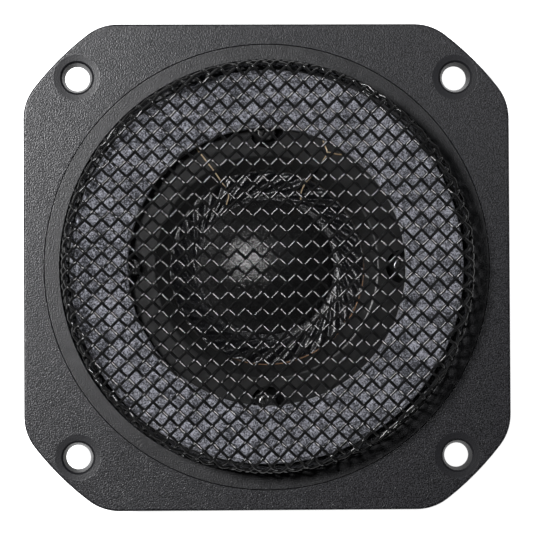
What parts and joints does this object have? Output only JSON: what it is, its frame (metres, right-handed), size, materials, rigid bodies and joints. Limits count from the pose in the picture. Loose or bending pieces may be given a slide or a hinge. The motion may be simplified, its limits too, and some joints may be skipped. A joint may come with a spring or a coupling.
{
  "type": "dome tweeter",
  "caption": "Square-flange soft-dome tweeter with a woven wire guard, felt ring, ribbed surround, ferrite motor and rear solder tags, fixed by screws at the flange corners.",
  "frame": {"origin": "centre of the mounting-hole pattern, on the flange's rear face", "axes": "+Z out of the dome towards the listener, +X to the right and +Y up as seen from the front"},
  "size_m": [0.1054, 0.1054, 0.036],
  "materials": {
    "plate_black": "fine-grain satin black",
    "ring_black": "smooth satin black",
    "mesh_black": "gloss black enamel on woven steel wire",
    "felt_grey": "pressed grey felt",
    "carrier_black": "moulded black",
    "surround_cloth": "doped cloth, soft sheen",
    "glue_amber": "brown adhesive",
    "dome_cloth": "doped woven cloth, soft sheen",
    "former_foil": "thin rolled foil",
    "coil_copper": "enamelled copper winding",
    "lead_gold": "bare gold-coloured wire",
    "plated_steel": "zinc-plated, turned",
    "ferrite_grey": "ground sintered ferrite",
    "cap_copper": "drawn copper",
    "pad_white": "soft damping felt",
    "screw_black": "gloss black",
    "rivet_brass": "formed brass",
    "tag_tinned": "tin-plated brass"
  },
  "bodies": {
    "frame": {"front_plate": "plate_black", "grille_ring": "ring_black", "grille_mesh": "mesh_black", "felt_ring": "felt_grey", "diaphragm_carrier": "carrier_black", "surround": "surround_cloth", "glue_bead": "glue_amber", "lead_wire_left": "lead_gold", "lead_wire_right": "lead_gold", "top_plate": "plated_steel", "magnet": "ferrite_grey", "back_plate": "plated_steel", "pole_piece": "plated_steel", "pole_cap": "cap_copper", "pole_pad": "pad_white", "plate_screws": "screw_black", "terminal_rivet_left": "rivet_brass", "terminal_rivet_right": "rivet_brass", "terminal_tag_left": "tag_tinned", "terminal_tag_right": "tag_tinned"},
    "diaphragm": {"dome": "dome_cloth", "coil_former": "former_foil", "voice_coil": "coil_copper"}
  },
  "joints": [
    {"name": "dome_travel", "type": "slide", "parent": "frame", "child": "diaphragm", "axis": [0, 0, 1], "range_m": [-0.0005, 0.0005], "stiffness_N_per_m": 200, "deforming": ["surround", "lead_wire_left", "lead_wire_right"]}
  ]
}
